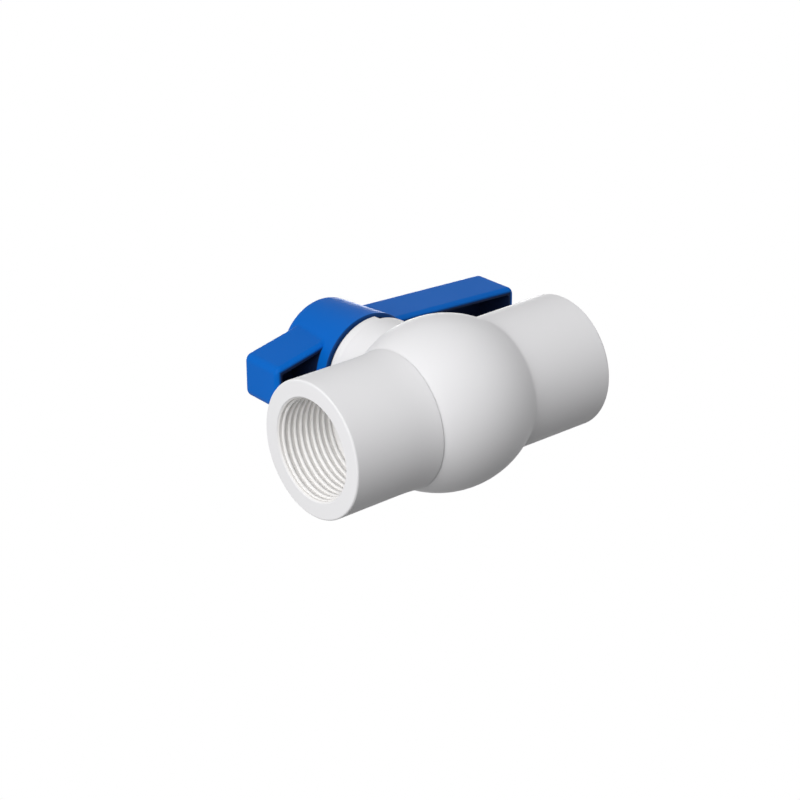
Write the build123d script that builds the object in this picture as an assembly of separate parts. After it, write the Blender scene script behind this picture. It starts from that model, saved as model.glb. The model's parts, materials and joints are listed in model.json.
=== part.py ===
"""Compact 3/4 inch plastic ball valve: threaded ends, bored ball, quarter-turn handle.

Frame: +X along the pipe towards the end moulded on the body, +Z up the stem, origin at the
centre of the ball. Shown fully open, with the handle along the pipe. All sizes in millimetres.
"""
import os
from math import hypot, sqrt

from build123d import *

# ------------------------------------------------------------------ driving dimensions
# Threaded ends: the bores are at the root of an internal G 3/4 thread
FAR_FACE = 42.1               # stem axis to the end face moulded on the body
NEAR_FACE = 42.9              # stem axis to the end face of the welded connector
THREAD_ROOT_RADIUS = 13.22
THREAD_LENGTH = 17.0
MOUTH_CHAMFER = 0.5
END_WALL = 4.85               # wall outside the thread root, at the end face
END_EDGE_RADIUS = 0.5         # rounding of the outer edge of each end face

# Ball and its housing
BALL_RADIUS = 16.0
PORT_RADIUS = 9.5             # full bore through ball, seats and body
PORT_EDGE = 0.5               # rounding where the port leaves the ball
BALL_CLEARANCE = 0.6          # ball to the wall of its chamber
HOUSING_WALL = 6.25           # chamber wall at the middle of the round housing
HOUSING_ARC = 28.0            # radius of the housing's bulging profile
JOINT_LEDGE = 1.35            # width of the ring face where connector meets housing
RIM_PROUD = 0.5               # how far the connector's rim stands out of the housing there
RIM_FLARE = 7.0               # length over which the connector widens into that rim
SOCKET_DEPTH = 7.0            # how far the connector's spigot enters the housing
WELD_GAP = 0.05               # radial room for the welded spigot
HOUSING_FILLET = 2.4          # moulded fillet between housing and far barrel

# Seats
SEAT_BORE_CLEARANCE = 0.25    # seat ring bore beyond the port
SEAT_WIDTH = 3.8              # radial width of a seat ring
SEAT_THICKNESS = 4.0
SEAT_PROUD = 0.8              # how far a seat ring stands out of its pocket
SEAT_GAP = 0.2                # ball to seat face
POCKET_CLEARANCE = 0.12       # seat ring to its pocket, radially
SEAT_RING_CORD = 1.8          # cord diameter of the ring behind each seat

# Neck of the housing
NECK_TOP = 32.0
NECK_RADIUS = 12.6
NECK_EDGE = 0.5
NECK_STRAIGHT = 1.2           # straight part below the neck's top
NECK_TAPER = 5.0              # height over which the neck widens into its collar
NECK_BLEND = 3.0
COLLAR_RADIUS = 14.9
COLLAR_FLARE = 0.4            # how much wider the collar is at its foot
STOP_RING_HEIGHT = 3.6
STOP_RING_INNER = 9.2
STOP_RING_OUTER = 11.8

# Stem
STEM_RADIUS = 6.0
STEM_CLEARANCE = 0.1          # stem in the neck, radially
SHOULDER_RADIUS = 8.2
SHOULDER_THICKNESS = 2.6
SHOULDER_CLEARANCE = 0.3      # shoulder and washer to the pocket they turn in
BALL_TO_SHOULDER = 0.7
WASHER_THICKNESS = 1.2
TANG_THICKNESS = 5.0
TANG_LENGTH = 13.0
TANG_DEPTH = 4.0              # how deep the tang reaches below the top of the ball
SLOT_SIDE_CLEARANCE = 0.15
SLOT_END_CLEARANCE = 0.4
STEM_CORD = 1.8               # cord diameter of the stem's sealing rings
GROOVE_CLEARANCE = 0.25       # groove wider than its ring
GROOVE_SPACING = 4.2
UPPER_GROOVE_BELOW_TOP = 4.0
STEM_STANDS_OUT = 0.6         # round part of the stem above the neck
DRIVE_SIZE = 8.4              # square on top of the stem
DRIVE_EDGE = 0.6

# Handle
HANDLE_FORWARD = 55.7         # long arm's end, from the stem axis
HANDLE_BACKWARD = 27.6        # short arm's end
ARM_ABOVE_NECK = 1.3          # open underside of the arms above the neck
ARM_HEIGHT = 14.1
LONG_ARM_ROOT_WIDTH = 20.0    # widths of each arm, at the stem axis and at its end
LONG_ARM_END_WIDTH = 14.1
SHORT_ARM_ROOT_WIDTH = 23.4
SHORT_ARM_END_WIDTH = 11.5
ARM_DRAFT = 0.5               # degrees, the arms widen towards their open side
ARM_CORNER = 2.2
ARM_TOP_EDGE = 1.6
ARM_RIM_EDGE = 1.2
ARM_WALL = 1.9
DRUM_RISE = 2.8               # drum above the arms
DRUM_TOP_RADIUS = 13.5
DRUM_TOP_EDGE = 1.6
SKIRT_OVERLAP = 2.8           # how far the skirt hangs over the neck
SKIRT_RADIUS = 15.1
SKIRT_WALL = 1.2
SKIRT_RIM_EDGE = 0.5
DRUM_BLEND = 2.2              # fillet between the drum and the arms
ROOF = 2.2                    # thickness of the handle's top walls
RIB = 1.4
DRUM_RIB_LIFT = 0.8           # drum ribs above the stop ring
BOSS_RADIUS = 8.0
SOCKET_CLEARANCE = 0.1
SOCKET_ROOM = 0.4             # socket deeper than the square is long
SCREW_WEB = 2.1               # handle material between the socket and the screw's head
STOP_TAB = 3.0                # thickness of the tab that meets the stops
STOP_CLEARANCE = 0.3

# Screw and cap on top of the handle
SCREW_RADIUS = 1.9
SCREW_LENGTH = 10.0
SCREW_HEAD_RADIUS = 3.6
SCREW_HEAD_HEIGHT = 2.2
SCREW_HOLE_CLEARANCE = 0.2
SCREW_RECESS_RADIUS = 4.4
CAP_RADIUS = 6.0
CAP_THICKNESS = 1.4
CAP_CLEARANCE = 0.08
CAP_DOME = 0.5

OVERCUT = 1.0                 # how far a cutting shape reaches past the face it opens

# ------------------------------------------------------------------ sizes that follow
end_radius = THREAD_ROOT_RADIUS + END_WALL
chamber_radius = BALL_RADIUS + BALL_CLEARANCE
barrel_radius = chamber_radius + JOINT_LEDGE
housing_radius = chamber_radius + HOUSING_WALL
housing_centre = housing_radius - HOUSING_ARC
joint_x = sqrt(HOUSING_ARC**2 - (barrel_radius - housing_centre) ** 2)

seat_inner = PORT_RADIUS + SEAT_BORE_CLEARANCE
seat_outer = seat_inner + SEAT_WIDTH
seat_middle = (seat_inner + seat_outer) / 2
seat_sphere = BALL_RADIUS + SEAT_GAP
seat_front_x = sqrt(seat_sphere**2 - seat_middle**2)
seat_back_x = seat_front_x + SEAT_THICKNESS
pocket_radius = seat_outer + POCKET_CLEARANCE
pocket_front_x = seat_front_x + SEAT_PROUD
ring_groove_x = seat_back_x + SEAT_RING_CORD

shoulder_bottom = BALL_RADIUS + BALL_TO_SHOULDER
shoulder_top = shoulder_bottom + SHOULDER_THICKNESS
washer_top = shoulder_top + WASHER_THICKNESS
stem_bore_radius = STEM_RADIUS + STEM_CLEARANCE
pocket_for_shoulder = SHOULDER_RADIUS + SHOULDER_CLEARANCE
stem_top = NECK_TOP + STEM_STANDS_OUT
neck_foot = NECK_TOP - NECK_STRAIGHT
collar_top = neck_foot - NECK_TAPER
upper_groove_z = NECK_TOP - UPPER_GROOVE_BELOW_TOP
lower_groove_z = upper_groove_z - GROOVE_SPACING
groove_width = STEM_CORD + GROOVE_CLEARANCE
groove_radius = stem_bore_radius - STEM_CORD

skirt_rim = NECK_TOP - SKIRT_OVERLAP
arm_rim = NECK_TOP + ARM_ABOVE_NECK
arm_top = arm_rim + ARM_HEIGHT
drum_top = arm_top + DRUM_RISE
cap_floor = drum_top - CAP_THICKNESS
head_bottom = cap_floor - SCREW_HEAD_HEIGHT
socket_size = DRIVE_SIZE + 2 * SOCKET_CLEARANCE
socket_top = head_bottom - SCREW_WEB
drive_top = socket_top - SOCKET_ROOM
stop_ring_top = NECK_TOP + STOP_RING_HEIGHT
stop_half_width = STOP_TAB / 2 + STOP_CLEARANCE

ON_FLOOR = (Align.CENTER, Align.CENTER, Align.MIN)


# ------------------------------------------------------------------ helpers
def tube(inner, outer, low, high):
    """Ring about Z between two heights."""
    ring = Circle(outer) - Circle(inner) if inner else Circle(outer)
    return Pos(0, 0, low) * extrude(ring, high - low)


def upright(shape):
    """Flat face in the XZ plane, turned so that revolving it makes a positive solid."""
    face = shape.face()
    return face if face.normal_at().Y < 0 else -face


def upright_face(points):
    """Flat face in the XZ plane from its corners."""
    return upright(make_face(Polyline(*[(a, 0, b) for a, b in points], close=True)))


def rounded_corner(shape, x, z, radius):
    """The flat face with one of its corners rounded."""
    return fillet(shape.vertices().sort_by_distance((x, 0, z))[0], radius)


def about_pipe(outline):
    """Solid of revolution about X from (x, radius) points."""
    return revolve(upright_face(outline), Axis.X)


def about_stem(outline):
    """Solid of revolution about Z from (radius, z) points."""
    return revolve(upright_face(outline), Axis.Z)


def ball_shaped(radius):
    """Sphere whose seam circles lie about the pipe."""
    return Rot(0, 90, 0) * Sphere(radius)


def mirrored(shape):
    """The same shape at the other end of the pipe."""
    return mirror(shape, about=Plane.YZ)


# ------------------------------------------------------------------ body mouldings
def end_bore(face_x):
    """Water way of one end: seat pocket, ring groove, port, thread."""
    thread_end_x = face_x - THREAD_LENGTH
    ring_inner = seat_middle - SEAT_RING_CORD
    ring_outer = seat_middle + SEAT_RING_CORD
    return about_pipe(
        [
            (pocket_front_x - SEAT_PROUD, 0),
            (pocket_front_x - SEAT_PROUD, pocket_radius),
            (seat_back_x, pocket_radius),
            (seat_back_x, ring_outer),
            (ring_groove_x, ring_outer),
            (ring_groove_x, ring_inner),
            (seat_back_x, ring_inner),
            (seat_back_x, PORT_RADIUS),
            (thread_end_x - (THREAD_ROOT_RADIUS - PORT_RADIUS) / 2, PORT_RADIUS),
            (thread_end_x, THREAD_ROOT_RADIUS),
            (face_x - MOUTH_CHAMFER, THREAD_ROOT_RADIUS),
            (face_x, THREAD_ROOT_RADIUS + MOUTH_CHAMFER),
            (face_x, 0),
        ]
    )


def barrel_slope(face_x):
    """How fast a drafted barrel widens towards its end face."""
    return (end_radius - barrel_radius) / face_x


def barrel_radius_at(x, face_x):
    """Outside radius of a barrel at a distance from the stem axis."""
    return barrel_radius + barrel_slope(face_x) * x


def housing_end(face_x):
    """Where a barrel comes out of the bulging housing."""
    slope = barrel_slope(face_x)
    above = barrel_radius - housing_centre
    a = 1 + slope**2
    b = above * slope
    c = above**2 - HOUSING_ARC**2
    return (-b + sqrt(b**2 - a * c)) / a


def body_outside():
    """Housing with its bulging profile, running out into the far barrel."""
    near_x = -(joint_x + OVERCUT)
    near = (near_x, 0, housing_centre + sqrt(HOUSING_ARC**2 - near_x**2))
    corner_x = housing_end(FAR_FACE)
    corner = (corner_x, 0, barrel_radius_at(corner_x, FAR_FACE))
    bulge = ThreePointArc(near, (0, 0, housing_radius), corner)
    sides = Polyline(corner, (FAR_FACE, 0, end_radius), (FAR_FACE, 0, 0), (near_x, 0, 0), near)
    face = make_face([bulge, sides])
    face = rounded_corner(face, corner[0], corner[2], HOUSING_FILLET)
    face = rounded_corner(face, FAR_FACE, end_radius, END_EDGE_RADIUS)
    return revolve(upright(face), Axis.X)


def connector_outside():
    """Near barrel, flared where its rim stands a little proud of the housing."""
    rim = (joint_x, 0, barrel_radius + RIM_PROUD)
    flare_end = joint_x + RIM_FLARE
    foot = (flare_end, 0, barrel_radius_at(flare_end, NEAR_FACE))
    flare = TangentArc(foot, rim, tangent=(-1, 0, -barrel_slope(NEAR_FACE)))
    sides = Polyline(rim, (joint_x, 0, 0), (NEAR_FACE, 0, 0), (NEAR_FACE, 0, end_radius), foot)
    face = rounded_corner(make_face([flare, sides]), NEAR_FACE, end_radius, END_EDGE_RADIUS)
    return revolve(upright(face), Axis.X)


def neck_outside():
    """Neck with its wide collar, which the handle's skirt stands over."""
    foot = BALL_RADIUS / 2
    solid = about_stem(
        [
            (0, foot),
            (COLLAR_RADIUS + COLLAR_FLARE, foot),
            (COLLAR_RADIUS, collar_top),
            (NECK_RADIUS, neck_foot),
            (NECK_RADIUS, NECK_TOP),
            (0, NECK_TOP),
        ]
    )
    rings = solid.edges().filter_by(GeomType.CIRCLE)
    corners = [e for e in rings if abs(e.arc_center.Z - collar_top) < 0.01]
    corners += [e for e in rings if abs(e.arc_center.Z - neck_foot) < 0.01]
    solid = fillet(corners, NECK_BLEND)
    rings = solid.edges().filter_by(GeomType.CIRCLE)
    top = [e for e in rings if abs(e.arc_center.Z - NECK_TOP) < 0.01]
    return fillet(top, NECK_EDGE)


def stop_ring():
    """Raised ring on the neck with a quarter-turn window for the handle's tab."""
    ring = tube(STOP_RING_INNER, STOP_RING_OUTER, NECK_TOP, stop_ring_top)
    reach = STOP_RING_OUTER + OVERCUT
    span = reach + stop_half_width
    window = Box(span, span, 2 * STOP_RING_HEIGHT, align=(Align.MAX, Align.MIN, Align.CENTER))
    window = Pos(stop_half_width, -stop_half_width, stop_ring_top) * window
    return ring - window


def make_valve_body():
    body = body_outside() + neck_outside() + stop_ring()
    size = 3 * housing_radius
    body -= Pos(-joint_x, 0, 0) * Box(size, size, size, align=(Align.MAX, Align.CENTER, Align.CENTER))
    open_end = -joint_x - OVERCUT
    body -= about_pipe(
        [(open_end, 0), (open_end, chamber_radius), (pocket_front_x, chamber_radius), (pocket_front_x, 0)]
    )
    body -= end_bore(FAR_FACE)
    body -= tube(0, stem_bore_radius, 0, stop_ring_top + OVERCUT)
    body -= tube(0, pocket_for_shoulder, 0, washer_top)
    return body


def make_end_connector():
    spigot_radius = chamber_radius - WELD_GAP
    spigot = about_pipe(
        [
            (joint_x - SOCKET_DEPTH, 0),
            (joint_x - SOCKET_DEPTH, spigot_radius),
            (joint_x, spigot_radius),
            (joint_x, 0),
        ]
    )
    solid = connector_outside() + spigot
    solid -= end_bore(NEAR_FACE)
    solid -= about_pipe([(0, 0), (0, pocket_radius), (pocket_front_x, pocket_radius), (pocket_front_x, 0)])
    solid -= ball_shaped(chamber_radius)
    return mirrored(solid)


# ------------------------------------------------------------------ ball, seats and seals
def make_ball():
    mouth_x = sqrt(BALL_RADIUS**2 - PORT_RADIUS**2)
    near = (-mouth_x, 0, PORT_RADIUS)
    far = (mouth_x, 0, PORT_RADIUS)
    outline = make_face([ThreePointArc(near, (0, 0, BALL_RADIUS), far), Line(far, near)])
    solid = revolve(fillet(outline.vertices(), PORT_EDGE), Axis.X)
    slot_floor = BALL_RADIUS - TANG_DEPTH - SLOT_END_CLEARANCE
    slot_width = TANG_THICKNESS + 2 * SLOT_SIDE_CLEARANCE
    slot = Box(slot_width, 3 * BALL_RADIUS, BALL_RADIUS, align=ON_FLOOR)
    return solid - Pos(0, 0, slot_floor) * slot


def make_seat_ring():
    ring = about_pipe(
        [
            (seat_front_x, seat_inner),
            (seat_front_x, seat_outer),
            (seat_back_x, seat_outer),
            (seat_back_x, seat_inner),
        ]
    )
    return ring - ball_shaped(seat_sphere)


def make_seat_o_ring():
    cord = SEAT_RING_CORD / 2
    return Pos(seat_back_x + cord, 0, 0) * Rot(0, 90, 0) * Torus(seat_middle, cord)


# ------------------------------------------------------------------ stem
def make_stem():
    outline = [(0, shoulder_bottom), (SHOULDER_RADIUS, shoulder_bottom), (SHOULDER_RADIUS, shoulder_top)]
    outline += [(STEM_RADIUS, shoulder_top)]
    for groove in (lower_groove_z, upper_groove_z):
        low = groove - groove_width / 2
        high = groove + groove_width / 2
        outline += [(STEM_RADIUS, low), (groove_radius, low), (groove_radius, high), (STEM_RADIUS, high)]
    outline += [(STEM_RADIUS, stem_top), (0, stem_top)]
    shaft = about_stem(outline)

    tang = Box(TANG_THICKNESS, TANG_LENGTH, TANG_DEPTH + BALL_TO_SHOULDER, align=ON_FLOOR)
    shaft += Pos(0, 0, BALL_RADIUS - TANG_DEPTH) * tang

    square = RectangleRounded(DRIVE_SIZE, DRIVE_SIZE, DRIVE_EDGE)
    drive = Pos(0, 0, stem_top) * extrude(square, drive_top - stem_top)
    # the round blank leaves the square's corners inside the stem's own diameter
    drive = drive & tube(0, STEM_RADIUS, stem_top, drive_top)
    shaft += drive
    screw_tip = head_bottom - SCREW_LENGTH
    return shaft - tube(0, SCREW_RADIUS, screw_tip, drive_top + OVERCUT)


def make_stem_o_ring(height):
    cord = STEM_CORD / 2
    return Pos(0, 0, height) * Torus(groove_radius + cord, cord)


def make_thrust_washer():
    return tube(stem_bore_radius, SHOULDER_RADIUS, shoulder_top, washer_top)


# ------------------------------------------------------------------ handle
def arm_plan(length, root_width, end_width, inset):
    """Plan of one arm from the stem axis along +X, drawn in by an inset."""
    root = root_width / 2 - inset
    end = end_width / 2 - inset
    reach = length - inset
    plan = make_face(Polyline((0, -root), (reach, -end), (reach, end), (0, root), close=True))
    corners = plan.vertices().group_by(Axis.X)[-1]
    return fillet(corners, max(ARM_CORNER - inset, ARM_CORNER / 4))


def arm_solid(arm, low, high, inset=0.0):
    """One arm between two heights, drafted wider towards its open side."""
    plan = Plane.XY.offset(high) * arm_plan(*arm, inset)
    return extrude(plan, high - low, dir=(0, 0, -1), taper=-ARM_DRAFT)


def rounded_arm(arm):
    """Outside of one arm, with its top edges rounded."""
    solid = arm_solid(arm, arm_rim, arm_top)
    top = solid.faces().sort_by(Axis.Z)[-1].edges().sort_by(Axis.X)[1:]
    return fillet(top, ARM_TOP_EDGE)


def drum_radius(z, inset=0.0):
    """Outside radius of the drafted drum at a height."""
    share = (z - skirt_rim) / (drum_top - skirt_rim)
    return SKIRT_RADIUS + (DRUM_TOP_RADIUS - SKIRT_RADIUS) * share - inset


def drum_solid(low, high, inset=0.0):
    return about_stem(
        [(0, low), (drum_radius(low, inset), low), (drum_radius(high, inset), high), (0, high)]
    )


def on_drum(edge):
    """True for an edge where an arm meets the side of the drum."""
    points = [edge.position_at(share) for share in (0.1, 0.5, 0.9)]
    on_side = all(abs(hypot(p.X, p.Y) - drum_radius(p.Z)) < 0.02 for p in points)
    return on_side and arm_rim < points[1].Z - 0.01 and points[1].Z < arm_top + 0.01


def handle_outside(long_arm, short_arm):
    """Drum with its two arms blended in, on the thin skirt that covers the neck."""
    drum = drum_solid(arm_rim, drum_top)
    circles = drum.edges().filter_by(GeomType.CIRCLE).sort_by(Axis.Z)
    drum = fillet(circles[-1], DRUM_TOP_EDGE)
    solid = drum + rounded_arm(long_arm) + Rot(0, 0, 180) * rounded_arm(short_arm)
    solid = fillet([e for e in solid.edges() if on_drum(e)], DRUM_BLEND)
    solid = fillet(solid.faces().sort_by(Axis.Z)[0].edges(), ARM_RIM_EDGE)

    skirt = drum_solid(skirt_rim, arm_rim + 2 * ARM_RIM_EDGE)
    circles = skirt.edges().filter_by(GeomType.CIRCLE).sort_by(Axis.Z)
    return solid + fillet(circles[0], SKIRT_RIM_EDGE)


def make_handle():
    turned = Rot(0, 0, 180)
    long_arm = (HANDLE_FORWARD, LONG_ARM_ROOT_WIDTH, LONG_ARM_END_WIDTH)
    short_arm = (HANDLE_BACKWARD, SHORT_ARM_ROOT_WIDTH, SHORT_ARM_END_WIDTH)
    shell = handle_outside(long_arm, short_arm)

    # hollow arms outside the drum wall, hollow drum inside it
    long_room = arm_solid(long_arm, arm_rim - OVERCUT, arm_top - ROOF, ARM_WALL)
    short_room = turned * arm_solid(short_arm, arm_rim - OVERCUT, arm_top - ROOF, ARM_WALL)
    drum_wall = drum_solid(skirt_rim, drum_top)
    shell -= long_room - drum_wall
    shell -= short_room - drum_wall
    shell -= drum_solid(skirt_rim - OVERCUT, drum_top - ROOF, SKIRT_WALL)

    # boss with the square socket, ribs and the stop tab
    boss = tube(0, BOSS_RADIUS, stem_top, drum_top - ROOF)
    room = drum_solid(skirt_rim, drum_top - ROOF / 2, SKIRT_WALL / 2)
    rib_low = stop_ring_top + DRUM_RIB_LIFT
    rib = Box(4 * SKIRT_RADIUS, RIB, drum_top - rib_low, align=ON_FLOOR)
    ribs = Pos(0, 0, rib_low) * (rib + Rot(0, 0, 90) * rib)
    tab = Box(2 * SKIRT_RADIUS, STOP_TAB, drum_top - stem_top, align=(Align.MAX, *ON_FLOOR[1:]))
    inside = boss + ((ribs + Pos(0, 0, stem_top) * tab) & room)
    shell += inside

    square = RectangleRounded(socket_size, socket_size, DRIVE_EDGE)
    shell -= Pos(0, 0, stem_top) * extrude(square, socket_top - stem_top)
    shell -= tube(0, SCREW_RADIUS + SCREW_HOLE_CLEARANCE, stem_top, drum_top)
    shell -= tube(0, SCREW_RECESS_RADIUS, head_bottom, drum_top)
    shell -= tube(0, CAP_RADIUS + CAP_CLEARANCE, cap_floor, drum_top + OVERCUT)
    return shell


def make_handle_screw():
    head = tube(0, SCREW_HEAD_RADIUS, head_bottom, head_bottom + SCREW_HEAD_HEIGHT)
    head = chamfer(head.edges().filter_by(GeomType.CIRCLE).sort_by(Axis.Z)[-1], SCREW_HEAD_HEIGHT / 4)
    return head + tube(0, SCREW_RADIUS, head_bottom - SCREW_LENGTH, head_bottom)


def make_handle_cap():
    plug = tube(0, CAP_RADIUS, cap_floor, drum_top)
    dome_radius = (CAP_RADIUS**2 + CAP_DOME**2) / (2 * CAP_DOME)
    dome = Pos(0, 0, drum_top + CAP_DOME - dome_radius) * Sphere(dome_radius)
    return plug + (dome & tube(0, CAP_RADIUS, drum_top, drum_top + CAP_DOME))


# ------------------------------------------------------------------ write every piece
def main():
    seat = make_seat_ring()
    seat_o_ring = make_seat_o_ring()
    pieces = {
        "valve_body": make_valve_body(),
        "end_connector": make_end_connector(),
        "ball": make_ball(),
        "seat_ring_far": seat,
        "seat_ring_near": mirrored(seat),
        "seat_o_ring_far": seat_o_ring,
        "seat_o_ring_near": mirrored(seat_o_ring),
        "stem": make_stem(),
        "stem_o_ring_lower": make_stem_o_ring(lower_groove_z),
        "stem_o_ring_upper": make_stem_o_ring(upper_groove_z),
        "thrust_washer": make_thrust_washer(),
        "handle": make_handle(),
        "handle_screw": make_handle_screw(),
        "handle_cap": make_handle_cap(),
    }
    os.makedirs("parts", exist_ok=True)
    for name, shape in pieces.items():
        solid = shape.solid()
        solid.label = name
        export_step(solid, f"parts/{name}.step")
        print(f"{name}: {len(shape.solids())} solid, {solid.volume / 1000:.2f} cm3")


main()
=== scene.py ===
# %% [markdown]
# A plastic ball valve, built as a 3/4 inch one: two white mouldings that form the body, and a blue
# lever handle that lies along the pipe while the valve is open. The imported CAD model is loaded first
# as a fixed frame. It already has every piece at full size, so this lesson adds what CAD leaves out:
# the threads in the ends, a small lip on the neck, the finishes, the light and the camera.

# %% Load the frame
import json
import math

import bmesh
import bpy
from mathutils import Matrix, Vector


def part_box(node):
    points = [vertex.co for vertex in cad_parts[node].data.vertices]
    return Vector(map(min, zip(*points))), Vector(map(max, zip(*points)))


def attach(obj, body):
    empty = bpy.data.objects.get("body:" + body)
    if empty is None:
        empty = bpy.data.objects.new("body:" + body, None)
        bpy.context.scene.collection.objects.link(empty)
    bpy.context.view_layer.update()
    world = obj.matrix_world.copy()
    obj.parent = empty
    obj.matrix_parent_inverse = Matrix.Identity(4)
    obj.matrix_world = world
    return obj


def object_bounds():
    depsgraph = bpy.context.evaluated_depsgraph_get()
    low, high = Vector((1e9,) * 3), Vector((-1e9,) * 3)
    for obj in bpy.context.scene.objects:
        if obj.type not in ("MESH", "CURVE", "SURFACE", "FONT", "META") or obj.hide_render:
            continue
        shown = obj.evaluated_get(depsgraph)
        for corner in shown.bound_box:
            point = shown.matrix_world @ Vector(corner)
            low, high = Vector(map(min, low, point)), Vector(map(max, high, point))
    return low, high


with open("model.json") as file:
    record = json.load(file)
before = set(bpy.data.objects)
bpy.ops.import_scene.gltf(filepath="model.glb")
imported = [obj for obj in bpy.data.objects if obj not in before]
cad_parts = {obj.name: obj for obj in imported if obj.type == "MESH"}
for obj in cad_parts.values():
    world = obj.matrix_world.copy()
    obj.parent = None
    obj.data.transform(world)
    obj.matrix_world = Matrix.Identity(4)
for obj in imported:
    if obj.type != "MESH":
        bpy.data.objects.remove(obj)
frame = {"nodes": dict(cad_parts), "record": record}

cad_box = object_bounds()
print("CAD box in metres:", cad_box)

# %% [markdown]
# Sizes that the finish needs are read from the record and the CAD boxes, in metres. The threads
# are G 3/4: a right-hand ridge with a pitch of 1.814 mm and a depth of 1.162 mm.

# %% Sizes
mounts = {mount["name"]: mount for mount in frame["record"]["mounts"]}
thread_root = mounts["thread_near"]["dims"]["r_mm"] / 1000
thread_wall = mounts["thread_near"]["dims"]["length_mm"] / 1000
near_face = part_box("end_connector")[0][0]
far_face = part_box("valve_body")[1][0]
ground_z = cad_box[0][2]
pitch = 0.001814
ridge_height = 0.001162
print("root radius", thread_root, "wall", thread_wall, "faces at x", near_face, far_face)


# %% [markdown]
# Building a node tree in code is wordy, so a few small helpers keep the cells below short. One adds
# a node and fills in its inputs, one makes a group with named sockets, and the others wrap a sum, a
# mix of two colours and the position on the piece.

# %% Helpers for node trees
def add(tree, kind, values=None, **settings):
    """Add a node; values go to its inputs, where a socket among them is linked."""
    node = tree.nodes.new(kind)
    for name, value in settings.items():
        setattr(node, name, value)
    for key, value in (values or {}).items():
        socket = node.inputs[key]
        if isinstance(value, bpy.types.NodeSocket):
            tree.links.new(value, socket)
        else:
            socket.default_value = value
    return node


def new_group(name, kind, inputs, outputs):
    """Node group whose sockets are given as (name, type, default)."""
    tree = bpy.data.node_groups.new(name, kind)
    for label, socket_type, default in inputs:
        socket = tree.interface.new_socket(label, in_out="INPUT", socket_type=socket_type)
        if default is not None:
            socket.default_value = default
    for label, socket_type in outputs:
        tree.interface.new_socket(label, in_out="OUTPUT", socket_type=socket_type)
    return tree, tree.nodes.new("NodeGroupInput").outputs, tree.nodes.new("NodeGroupOutput").inputs


def maths(tree, operation, first, second=0.5):
    """Result socket of one Math node."""
    return add(tree, "ShaderNodeMath", {0: first, 1: second}, operation=operation).outputs[0]


def mixed(tree, factor, first, second):
    """Colour between two others, each a socket or a colour of three numbers."""
    mix = add(tree, "ShaderNodeMix", {0: factor}, data_type="RGBA")
    for socket, colour in ((mix.inputs[6], first), (mix.inputs[7], second)):
        if isinstance(colour, bpy.types.NodeSocket):
            tree.links.new(colour, socket)
        else:
            socket.default_value = (*colour, 1)
    return mix.outputs[2]


def object_place(tree):
    """Position on the piece, in metres from the ball's centre."""
    return add(tree, "ShaderNodeTexCoord").outputs["Object"]


print("helpers:", [helper.__name__ for helper in (add, new_group, maths, mixed, object_place)])


# %% [markdown]
# Moulded plastic is never quite even. Its colour drifts a little, its skin copies the fine grain of
# the steel mould, and hands leave it slightly more or less glossy from place to place. Every plastic
# here shares that, so it is one group: each material places it with its own scale and strength. It
# could be painted on a picture, but noise on the piece's own position needs no seams and no file.

# %% Shared group: moulded skin
def moulded_skin():
    inputs = [
        ("Colour", "NodeSocketColor", (0.8, 0.8, 0.8, 1)),
        ("Shade Colour", "NodeSocketColor", (0.7, 0.7, 0.7, 1)),
        ("Drift Scale", "NodeSocketFloat", 45.0),
        ("Wave Scale", "NodeSocketFloat", 130.0),
        ("Grain Scale", "NodeSocketFloat", 2600.0),
        ("Grain", "NodeSocketFloat", 0.25),
        ("Roughness", "NodeSocketFloat", 0.35),
        ("Roughness Spread", "NodeSocketFloat", 0.08),
    ]
    outputs = [
        ("Colour", "NodeSocketColor"),
        ("Roughness", "NodeSocketFloat"),
        ("Height", "NodeSocketFloat"),
    ]
    tree, given, result = new_group("moulded skin", "ShaderNodeTree", inputs, outputs)
    place = object_place(tree)

    def noise(scale, detail):
        values = {"Vector": place, "Scale": scale, "Detail": detail}
        return add(tree, "ShaderNodeTexNoise", values).outputs["Fac"]

    drift = noise(given["Drift Scale"], 2.0)
    grain = noise(given["Grain Scale"], 1.0)
    waves = noise(given["Wave Scale"], 1.0)
    tree.links.new(mixed(tree, drift, given["Colour"], given["Shade Colour"]), result["Colour"])
    uneven = maths(tree, "MULTIPLY", maths(tree, "SUBTRACT", drift), given["Roughness Spread"])
    tree.links.new(maths(tree, "ADD", given["Roughness"], uneven), result["Roughness"])
    fine = maths(tree, "MULTIPLY", grain, given["Grain"])
    tree.links.new(maths(tree, "ADD", fine, waves), result["Height"])
    return tree


skin_group = moulded_skin()
print("shared group:", skin_group.name)


# %% [markdown]
# Every plastic is made to one recipe: a Principled BSDF that takes colour, roughness and bump from
# the shared skin. The strength of its reflections is the same all over, so it stays a plain number on
# the shader's own socket.

# %% Recipe for a plastic
def plastic(name, colour, shade, roughness, bump=0.08, specular=0.5, drift=45.0):
    material = bpy.data.materials.new(name)
    material.use_nodes = True
    tree = material.node_tree
    shader = tree.nodes["Principled BSDF"]
    skin = add(tree, "ShaderNodeGroup", node_tree=skin_group)
    for label, value in (
        ("Colour", (*colour, 1)),
        ("Shade Colour", (*shade, 1)),
        ("Drift Scale", drift),
        ("Roughness", roughness),
    ):
        skin.inputs[label].default_value = value
    height = skin.outputs["Height"]
    relief = add(tree, "ShaderNodeBump", {"Height": height, "Strength": bump, "Distance": 0.00006})
    tree.links.new(skin.outputs["Colour"], shader.inputs["Base Color"])
    tree.links.new(skin.outputs["Roughness"], shader.inputs["Roughness"])
    tree.links.new(relief.outputs["Normal"], shader.inputs["Normal"])
    shader.inputs["Specular IOR Level"].default_value = specular
    return material


print("recipe ready:", plastic.__name__)


# %% [markdown]
# The white body and the blue handle come straight from the mould, and both are dull with a faint
# sheen. The ball is smoother, because it slides in its seats, and the rubber seals are the roughest.
# The recipe keeps them alike in kind, so only these few numbers tell them apart.

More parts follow.
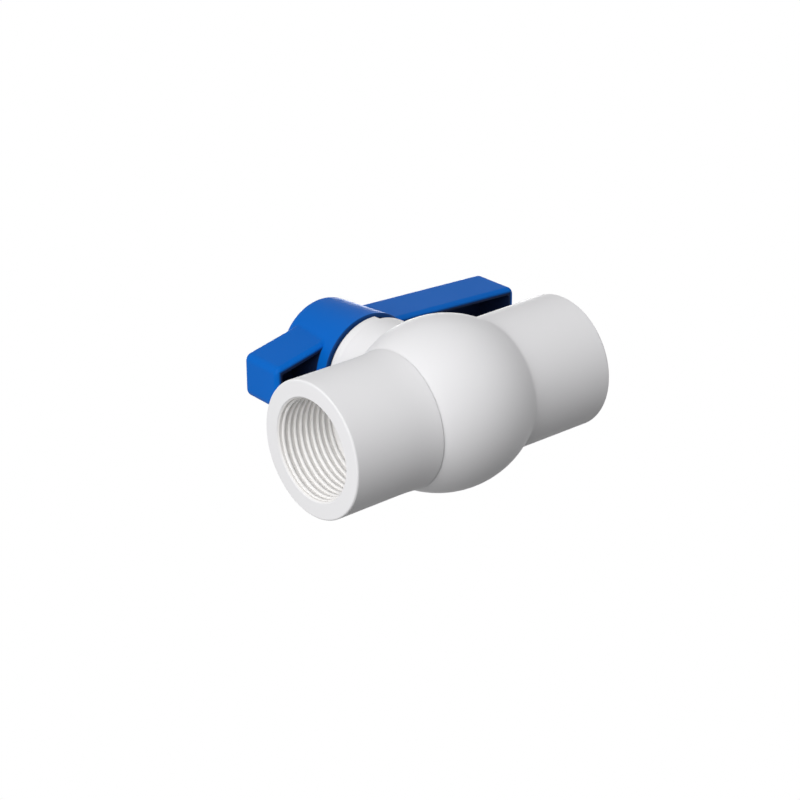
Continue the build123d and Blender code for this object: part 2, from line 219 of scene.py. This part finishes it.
# %% The plastics and the rubber
white_pvc = plastic(
    "white pvc",
    colour=(0.842, 0.838, 0.852),
    shade=(0.812, 0.808, 0.820),
    roughness=0.55,
    specular=0.08,
)
ball_white = plastic(
    "ball plastic",
    colour=(0.76, 0.76, 0.755),
    shade=(0.73, 0.73, 0.725),
    roughness=0.22,
    bump=0.03,
)
seat_ptfe = plastic(
    "seat ptfe",
    colour=(0.78, 0.78, 0.76),
    shade=(0.74, 0.74, 0.72),
    roughness=0.5,
    bump=0.15,
)
handle_blue = plastic(
    "handle blue",
    colour=(0.002, 0.130, 0.55),
    shade=(0.001, 0.121, 0.51),
    roughness=0.5,
    bump=0.1,
    specular=0.06,
)
cap_blue = plastic(
    "cap blue",
    colour=(0.002, 0.11, 0.50),
    shade=(0.001, 0.10, 0.46),
    roughness=0.42,
    bump=0.2,
    specular=0.08,
    drift=90.0,
)
seal_black = plastic(
    "seal rubber",
    colour=(0.02, 0.02, 0.021),
    shade=(0.03, 0.03, 0.03),
    roughness=0.6,
    bump=0.3,
    specular=0.3,
)
print("plastics:", [m.name for m in (white_pvc, ball_white, seat_ptfe, handle_blue, cap_blue, seal_black)])


# %% [markdown]
# Two of the plastics carry painted shade in parts of their colour, so their colour passes through a
# mask. A mask could be painted by hand, but a rule on the position is exact and works on every piece:
# one helper carries a value from one range to another, one gives the distance from an axis, and one
# puts the result back.

# %% Helpers for masks
def ramp(tree, value, first, last, to_first=0.0, to_last=1.0):
    """Value carried from one range to another, and held at its ends."""
    ranges = {"From Min": first, "From Max": last, "To Min": to_first, "To Max": to_last}
    return add(tree, "ShaderNodeMapRange", {"Value": value, **ranges}).outputs["Result"]


def distance_across(tree, place, axes):
    """Distance from an axis, where axes keeps the two directions across it."""
    across = add(tree, "ShaderNodeVectorMath", {0: place, 1: axes}, operation="MULTIPLY").outputs[0]
    return add(tree, "ShaderNodeVectorMath", {0: across}, operation="LENGTH").outputs["Value"]


def repaint(material, choose):
    """Send the material's colour through a function of (tree, colour) that returns a new one."""
    tree = material.node_tree
    base_colour = tree.nodes["Principled BSDF"].inputs["Base Color"]
    tree.links.new(choose(tree, base_colour.links[0].from_socket), base_colour)


print("mask helpers:", [helper.__name__ for helper in (ramp, distance_across, repaint)])


# %% [markdown]
# In the threaded ends the white gets painted warm shade: the valleys are painted a little warmer and
# darker than the crests, for light bounced between the white ridges. The mask is the distance from the
# pipe's axis, so one rule fits both ends. It ends just outside the thread's root, which leaves the end
# faces alone. The two tints are chosen.

# %% Painted warm shade in the thread valleys
def painted_warm_valley_shade(tree, skin_colour):
    crest_colour = (0.845, 0.845, 0.85)
    # Painted shade: the valleys are painted warmer and a little darker, for light bounced between ridges.
    valley_painted_warm_shade = (0.85, 0.835, 0.82)
    margin = 0.0001
    blur = 0.0003
    bore_end = thread_root + margin
    radius = distance_across(tree, object_place(tree), axes=(0, 1, 1))
    depth = ramp(tree, radius, thread_root - ridge_height, thread_root)
    inside = ramp(tree, radius, bore_end, bore_end + blur, 1.0, 0.0)
    return mixed(tree, inside, skin_colour, mixed(tree, depth, crest_colour, valley_painted_warm_shade))


repaint(white_pvc, painted_warm_valley_shade)
print("warmer inside a radius of", round(thread_root, 5))


# %% [markdown]
# The handle is a hollow moulding, open below, and its hollows look nearly black while its outside is
# bright. Shadow alone leaves them too light here, so painted shade darkens them: a chosen, nearly black
# blue is painted in, and the skirt's rim gets most of the same painted shade. The mask is a rule on the
# position: below the outer skin of the arms, inside the middle of the drum's wall, or on the rim. It is
# the same from every side.

# %% Painted shade in the handle's hollows and on its rim
arm_ends = (-0.0276, 0.0557)
short_arm_half_widths = (0.00575, 0.0117)
long_arm_half_widths = (0.0100, 0.00705)
arm_heights = (0.0330, 0.0464)
drum_heights = (0.0292, 0.0502)
drum_mid_wall = (0.0145, 0.0129)
drum_roof = 0.0491
skin_depth = 0.0007
edge_blur = 0.0003
rim_depth = 0.0002
# Share of the painted shade given to the inside of the drum and the skirt's rim.
drum_painted_shade_share = 0.78


def least(tree, *values):
    """Smallest of several values."""
    result = values[0]
    for value in values[1:]:
        result = maths(tree, "MINIMUM", result, value)
    return result


def painted_hollow_shade(tree, skin_colour):
    # Painted shade: a nearly black blue for the hollows, the inside of the drum and the skirt's rim.
    hollow_painted_shade_colour = (0.007, 0.014, 0.045)
    place = object_place(tree)
    where = add(tree, "ShaderNodeSeparateXYZ", {0: place}).outputs
    along, height = where["X"], where["Z"]
    aside = maths(tree, "ABSOLUTE", where["Y"])
    first_end, last_end = arm_ends[0] + skin_depth, arm_ends[1] - skin_depth
    half_width = least(
        tree,
        ramp(tree, along, first_end, 0.0, *(width - skin_depth for width in short_arm_half_widths)),
        ramp(tree, along, 0.0, last_end, *(width - skin_depth for width in long_arm_half_widths)),
    )
    in_arm = least(
        tree,
        ramp(tree, maths(tree, "SUBTRACT", half_width, aside), 0.0, skin_depth),
        ramp(tree, along, first_end, first_end + skin_depth),
        ramp(tree, along, last_end, last_end - skin_depth),
        ramp(tree, height, arm_heights[0], arm_heights[0] + edge_blur),
        ramp(tree, height, arm_heights[1], arm_heights[1] - edge_blur),
    )
    mid_wall = ramp(tree, height, *drum_heights, *drum_mid_wall)
    radius = distance_across(tree, place, axes=(1, 1, 0))
    in_drum = least(
        tree,
        ramp(tree, maths(tree, "SUBTRACT", mid_wall, radius), 0.0, edge_blur),
        ramp(tree, height, drum_roof, drum_roof - edge_blur),
    )
    rim_top = drum_heights[0] + rim_depth
    on_rim = ramp(tree, height, rim_top + edge_blur, rim_top)
    in_drum_or_rim = maths(tree, "MULTIPLY", maths(tree, "MAXIMUM", in_drum, on_rim), drum_painted_shade_share)
    return mixed(tree, maths(tree, "MAXIMUM", in_arm, in_drum_or_rim), skin_colour, hollow_painted_shade_colour)


repaint(handle_blue, painted_hollow_shade)
print("hollows of arms between x", arm_ends, "and z", arm_heights)


# %% [markdown]
# The screw under the cap is stainless steel. Turning leaves fine rings about its axis. An anisotropic
# shader could stretch the highlights in the same way, but a ring pattern about the stem also shows
# the rings themselves, so roughness and bump both follow it.

# %% Screw steel
def turned_steel():
    material = bpy.data.materials.new("turned steel")
    material.use_nodes = True
    tree = material.node_tree
    shader = tree.nodes["Principled BSDF"]
    rings = add(
        tree,
        "ShaderNodeTexWave",
        {"Vector": object_place(tree), "Scale": 900.0, "Distortion": 1.0},
        wave_type="RINGS",
        rings_direction="Z",
    ).outputs["Fac"]
    relief = add(tree, "ShaderNodeBump", {"Height": rings, "Strength": 0.1, "Distance": 0.00002})
    tree.links.new(ramp(tree, rings, 0.0, 1.0, 0.24, 0.36), shader.inputs["Roughness"])
    tree.links.new(relief.outputs["Normal"], shader.inputs["Normal"])
    shader.inputs["Base Color"].default_value = (0.62, 0.61, 0.6, 1)
    shader.inputs["Metallic"].default_value = 1.0
    return material


screw_steel = turned_steel()
print("metal:", screw_steel.name)

# %% [markdown]
# The CAD nodes keep their shapes, and each takes its finish in its own material slots. One list from
# node to finish shows at a glance what every piece is made of.

# %% Dress the CAD nodes
finishes = {
    "valve_body": white_pvc,
    "end_connector": white_pvc,
    "ball": ball_white,
    "stem": ball_white,
    "seat_ring_near": seat_ptfe,
    "seat_ring_far": seat_ptfe,
    "thrust_washer": seat_ptfe,
    "seat_o_ring_near": seal_black,
    "seat_o_ring_far": seal_black,
    "stem_o_ring_lower": seal_black,
    "stem_o_ring_upper": seal_black,
    "handle": handle_blue,
    "handle_cap": cap_blue,
    "handle_screw": screw_steel,
}
for node, material in finishes.items():
    for place in frame["nodes"][node].material_slots:
        place.material = material
print("dressed", len(finishes), "nodes")


# %% [markdown]
# A pipe thread is one ridge wound along the bore. It could be a Screw modifier or a sweep in CAD, but
# Geometry Nodes keep its sizes as named inputs: a helix carries a profile with a rounded crest. The
# ridge grows over a third of a turn at its start and dies away over another at its end. Its pitch is
# the standard's. Its height isn't: 82 % of the full depth is chosen, for a softer thread.

# %% Geometry Nodes tree of the thread
height_share = 0.82
quarter_turn = math.pi / 2


def transformed(tree, before, way, value):
    """Transform node after another one, which turns or moves its geometry."""
    return add(tree, "GeometryNodeTransform", {"Geometry": before.outputs[0], way: value})


def thread_tree():
    inputs = [
        ("Root Radius", "NodeSocketFloat", thread_root),
        ("Pitch", "NodeSocketFloat", pitch),
        ("Turns", "NodeSocketFloat", 7.5),
        ("Start", "NodeSocketFloat", 0.0),
        ("Ridge Height", "NodeSocketFloat", ridge_height * height_share),
        ("Foot Width", "NodeSocketFloat", 0.00175),
        ("Crest Width", "NodeSocketFloat", 0.00050),
        ("Crest Rounding", "NodeSocketFloat", 0.00045),
        ("Growing Turns", "NodeSocketFloat", 0.35),
        ("Smallest Size", "NodeSocketFloat", 0.02),
        ("Steps per Turn", "NodeSocketInt", 96),
        ("Rounding Steps", "NodeSocketInt", 5),
        ("Material", "NodeSocketMaterial", None),
    ]
    outputs = [("Geometry", "NodeSocketGeometry")]
    tree, given, result = new_group("pipe thread", "GeometryNodeTree", inputs, outputs)
    length = maths(tree, "MULTIPLY", given["Pitch"], given["Turns"])
    helix = add(
        tree,
        "GeometryNodeCurveSpiral",
        {
            "Resolution": given["Steps per Turn"],
            "Rotations": given["Turns"],
            "Start Radius": given["Root Radius"],
            "End Radius": given["Root Radius"],
            "Height": length,
            "Reverse": True,
        },
    )
    upright = add(tree, "GeometryNodeSetCurveNormal", {"Curve": helix.outputs[0]}, mode="Z_UP")
    profile = add(
        tree,
        "GeometryNodeCurvePrimitiveQuadrilateral",
        {
            "Bottom Width": given["Foot Width"],
            "Top Width": given["Crest Width"],
            "Height": given["Ridge Height"],
            "Offset": 0.0,
        },
        mode="TRAPEZOID",
    )
    rounded = add(
        tree,
        "GeometryNodeFilletCurve",
        {
            "Curve": profile.outputs[0],
            "Count": given["Rounding Steps"],
            "Radius": given["Crest Rounding"],
            "Limit Radius": True,
        },
        mode="POLY",
    )
    facing = transformed(tree, rounded, "Rotation", (0, 0, quarter_turn))
    along = add(tree, "GeometryNodeSplineParameter").outputs["Factor"]
    growing_share = maths(tree, "DIVIDE", given["Growing Turns"], given["Turns"])
    grow = maths(tree, "DIVIDE", along, growing_share)
    fade = maths(tree, "DIVIDE", maths(tree, "SUBTRACT", 1.0, along), growing_share)
    size = add(tree, "ShaderNodeClamp", {"Value": least(tree, grow, fade), "Min": given["Smallest Size"]})
    ridge = add(
        tree,
        "GeometryNodeCurveToMesh",
        {
            "Curve": upright.outputs[0],
            "Profile Curve": facing.outputs[0],
            "Scale": size.outputs[0],
            "Fill Caps": True,
        },
    )
    along_pipe = transformed(tree, ridge, "Rotation", (0, quarter_turn, 0))
    start = add(tree, "ShaderNodeCombineXYZ", {"X": given["Start"]})
    placed = transformed(tree, along_pipe, "Translation", start.outputs[0])
    real = add(tree, "GeometryNodeRealizeInstances", {"Geometry": placed.outputs[0]})
    smooth = add(tree, "GeometryNodeSetShadeSmooth", {"Geometry": real.outputs[0]})
    finish = add(
        tree,
        "GeometryNodeSetMaterial",
        {"Geometry": smooth.outputs[0], "Material": given["Material"]},
    )
    tree.links.new(finish.outputs[0], result["Geometry"])
    return tree


thread_nodes = thread_tree()
print("thread inputs:", [item.name for item in thread_nodes.interface.items_tree if item.in_out == "INPUT"])


# %% [markdown]
# One helper runs a node tree on an empty object and keeps the result as a plain mesh, because the
# modifier must be gone before the piece is handed to the frame. The object stays at the origin, so
# the thread's place is in its mesh. Both ends have the same right-hand thread. It starts behind the
# face and ends just short of the shoulder at the bottom of the bore.

# %% Wind a thread into each end
def grow_piece(name, tree, values):
    """Plain mesh object made by a Geometry Nodes tree with the given input values."""
    seed = bpy.data.objects.new("seed", bpy.data.meshes.new("seed"))
    bpy.context.scene.collection.objects.link(seed)
    modifier = seed.modifiers.new("nodes", "NODES")
    modifier.node_group = tree
    sockets = {item.name: item.identifier for item in tree.interface.items_tree if item.in_out == "INPUT"}
    for label, value in values.items():
        modifier[sockets[label]] = value
    graph = bpy.context.evaluated_depsgraph_get()
    mesh = bpy.data.meshes.new_from_object(seed.evaluated_get(graph))
    mesh.name = name
    bpy.data.objects.remove(seed)
    piece = bpy.data.objects.new(name, mesh)
    bpy.context.scene.collection.objects.link(piece)
    return piece


lead_in = 0.0009
mouth_chamfer = 0.0005
spare_turns = 0.1
turns = (thread_wall + mouth_chamfer - lead_in) / pitch - spare_turns
for name, start in (("thread_near", near_face + lead_in), ("thread_far", far_face - lead_in - turns * pitch)):
    thread = grow_piece(name, thread_nodes, {"Turns": turns, "Start": start, "Material": white_pvc})
    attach(thread, "body")
    print(name, "with", round(turns, 2), "turns and", len(thread.data.polygons), "faces")


# %% [markdown]
# Under the handle the neck carries a raised lip on its near side, which ends in a small step. It
# could be cut from a whole ring with a Boolean, but a slice of a ring takes only a loop: a section
# with four corners, repeated about the stem. Its inner side is sunk into the neck, so no gap shows,
# and a Bevel rounds its edges.

# %% Collar lip
def ring_slice(name, section, first, last, steps):
    """Slice of a ring about the stem between two angles in degrees, from a section of (radius, height)."""
    points = []
    faces = []
    corners = len(section)
    for step in range(steps + 1):
        angle = math.radians(first + (last - first) * step / steps)
        points += [(radius * math.cos(angle), radius * math.sin(angle), height) for radius, height in section]
    for step in range(steps):
        for corner in range(corners):
            here = step * corners + corner
            beside = step * corners + (corner + 1) % corners
            faces.append((here, beside, beside + corners, here + corners))
    faces.append(tuple(range(corners))[::-1])
    faces.append(tuple(steps * corners + corner for corner in range(corners)))
    mesh = bpy.data.meshes.new(name)
    mesh.from_pydata(points, [], faces)
    bm = bmesh.new()
    bm.from_mesh(mesh)
    bmesh.ops.recalc_face_normals(bm, faces=bm.faces)
    bm.to_mesh(mesh)
    bm.free()
    return bpy.data.objects.new(name, mesh)


lip_inside = 0.0130
lip_foot_radius, lip_brow_radius = 0.01492, 0.01486
lip_foot, lip_brow = 0.0253, 0.0281
lip_section = [
    (lip_inside, lip_foot),
    (lip_foot_radius, lip_foot),
    (lip_brow_radius, lip_brow),
    (lip_inside, lip_brow),
]
lip_ends = (86, 274)
lip = ring_slice("collar_lip", lip_section, *lip_ends, steps=96)
bpy.context.scene.collection.objects.link(lip)
rounding = lip.modifiers.new("rounding", "BEVEL")
rounding.width = 0.0003
rounding.segments = 4
rounding.angle_limit = math.radians(40)
lip_mesh = bpy.data.meshes.new_from_object(lip.evaluated_get(bpy.context.evaluated_depsgraph_get()))
lip.modifiers.clear()
lip.data = lip_mesh
lip_mesh.shade_smooth()
lip_mesh.set_sharp_from_angle(angle=math.radians(30))
lip_mesh.materials.append(white_pvc)
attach(lip, "body")
print("collar lip with", len(lip_mesh.polygons), "faces")


# %% [markdown]
# The stage is a plain pale floor just under the round housing. It is one-sided: its material lets a
# ray through from below, so the valve can be looked at from any side. It fades out with distance,
# and only the camera sees it, so it takes the valve's shadow but throws no light back.

# %% Floor
def floor_material():
    fade_from, fade_to = 0.12, 0.45
    palest, darkest = 0.86, 0.84
    material = bpy.data.materials.new("pale floor")
    material.use_nodes = True
    tree = material.node_tree
    tree.nodes.clear()
    place = object_place(tree)
    distance = add(tree, "ShaderNodeVectorMath", {0: place}, operation="LENGTH").outputs["Value"]
    below = add(tree, "ShaderNodeNewGeometry").outputs["Backfacing"]
    unseen = maths(tree, "MAXIMUM", ramp(tree, distance, fade_from, fade_to), below)
    speckle = add(tree, "ShaderNodeTexNoise", {"Vector": place, "Scale": 400.0}).outputs["Fac"]
    matte = add(tree, "ShaderNodeBsdfDiffuse", {"Color": ramp(tree, speckle, 0.0, 1.0, darkest, palest)})
    clear = add(tree, "ShaderNodeBsdfTransparent")
    mix = add(tree, "ShaderNodeMixShader", {0: unseen, 1: matte.outputs[0], 2: clear.outputs[0]})
    add(tree, "ShaderNodeOutputMaterial", {"Surface": mix.outputs[0]})
    return material


def make_floor(half, height):
    mesh = bpy.data.meshes.new("floor")
    corners = [(-half, -half, height), (half, -half, height), (half, half, height), (-half, half, height)]
    mesh.from_pydata(corners, [], [(0, 1, 2, 3)])
    mesh.materials.append(floor_material())
    floor = bpy.data.objects.new("floor", mesh)
    bpy.context.scene.collection.objects.link(floor)
    for ray in ("diffuse", "glossy", "transmission", "volume_scatter", "shadow"):
        setattr(floor, f"visible_{ray}", False)


make_floor(half=0.6, height=ground_z)
print("floor at z", round(ground_z, 5))


# %% [markdown]
# The room is white wherever the camera or a reflection meets it. The light that it gives to matte
# surfaces is a soft slope instead, brighter from above than from below, as under a pale ceiling.

# %% World
def make_world(above, below):
    world = bpy.data.worlds.new("studio")
    bpy.context.scene.world = world
    world.use_nodes = True
    tree = world.node_tree
    tree.nodes.clear()
    direction = add(tree, "ShaderNodeTexCoord").outputs["Generated"]
    slope = add(tree, "ShaderNodeSeparateXYZ", {0: direction}).outputs["Z"]
    level = add(
        tree,
        "ShaderNodeMapRange",
        {"Value": slope, "From Min": -1.0, "From Max": 1.0, "To Min": below, "To Max": above},
        interpolation_type="SMOOTHSTEP",
    )
    rays = add(tree, "ShaderNodeLightPath").outputs
    seen = maths(tree, "MAXIMUM", rays["Is Camera Ray"], rays["Is Glossy Ray"])
    white = maths(tree, "MAXIMUM", seen, rays["Is Transmission Ray"])
    soft = add(tree, "ShaderNodeBackground", {"Color": (1, 1, 1, 1), "Strength": level.outputs["Result"]})
    backdrop = add(tree, "ShaderNodeBackground", {"Color": (1, 1, 1, 1), "Strength": 1.0})
    mix = add(tree, "ShaderNodeMixShader", {0: white, 1: soft.outputs[0], 2: backdrop.outputs[0]})
    add(tree, "ShaderNodeOutputWorld", {"Surface": mix.outputs[0]})
    print("world light", above, "from above and", below, "from below")


make_world(above=0.49, below=0.01)


# %% [markdown]
# Three soft lamps shape the forms: a large key that looks at the near end, a large weaker fill from
# the front right and below, and a smaller one high behind the right side for the views from above.
# Each is aimed at the ball's centre, and its level is the light it gives to a surface that faces it,
# where 1 shows a colour as it is written. The back lamp makes no highlights, which would be streaks
# along the outline.

# %% Lamps
def soft_lamp(name, direction, size, level, distance=0.8):
    data = bpy.data.lights.new(name, "AREA")
    data.shape = "DISK"
    data.size = size
    data.energy = level * math.pi**2 * (distance**2 + (size / 2) ** 2)
    lamp = bpy.data.objects.new(name, data)
    lamp.location = Vector(direction).normalized() * distance
    lamp.rotation_euler = lamp.location.to_track_quat("Z", "Y").to_euler()
    bpy.context.scene.collection.objects.link(lamp)
    print(name, "lamp of", round(data.energy, 2), "W")
    return data


soft_lamp("key", (-0.80, -0.51, -0.33), size=0.85, level=0.85)
soft_lamp("fill", (0.62, -0.51, -0.60), size=0.85, level=0.25)
soft_lamp("back", (0.55, 0.30, 0.78), size=0.4, level=0.80).specular_factor = 0.0

# %% [markdown]
# The camera is a long lens that looks up at the near end from the front left, so that the threaded
# mouth, the housing and the underside of the handle all show.

# %% Camera
camera_data = bpy.data.cameras.new("camera")
camera_data.sensor_width = 36.0
camera_data.lens = 102.78
camera_data.clip_start = 0.01
camera_data.clip_end = 10.0
camera_data.shift_x = -0.000625
camera_data.shift_y = 0.000625
camera = bpy.data.objects.new("camera", camera_data)
camera.location = (-0.351016, -0.243551, -0.396572)
camera.rotation_euler = [math.radians(angle) for angle in (155.4856, 40.4207, 0.1999)]
bpy.context.scene.collection.objects.link(camera)
bpy.context.scene.camera = camera
bpy.context.scene.view_settings.view_transform = "Standard"
print("camera", round(camera.location.length, 3), "m from the ball's centre")

# %% [markdown]
# Last, the size of the CAD model is printed in millimetres.

# %% Finish
size = [round(1000 * (high - low), 1) for low, high in zip(*cad_box)]
print("CAD size in mm:", size)
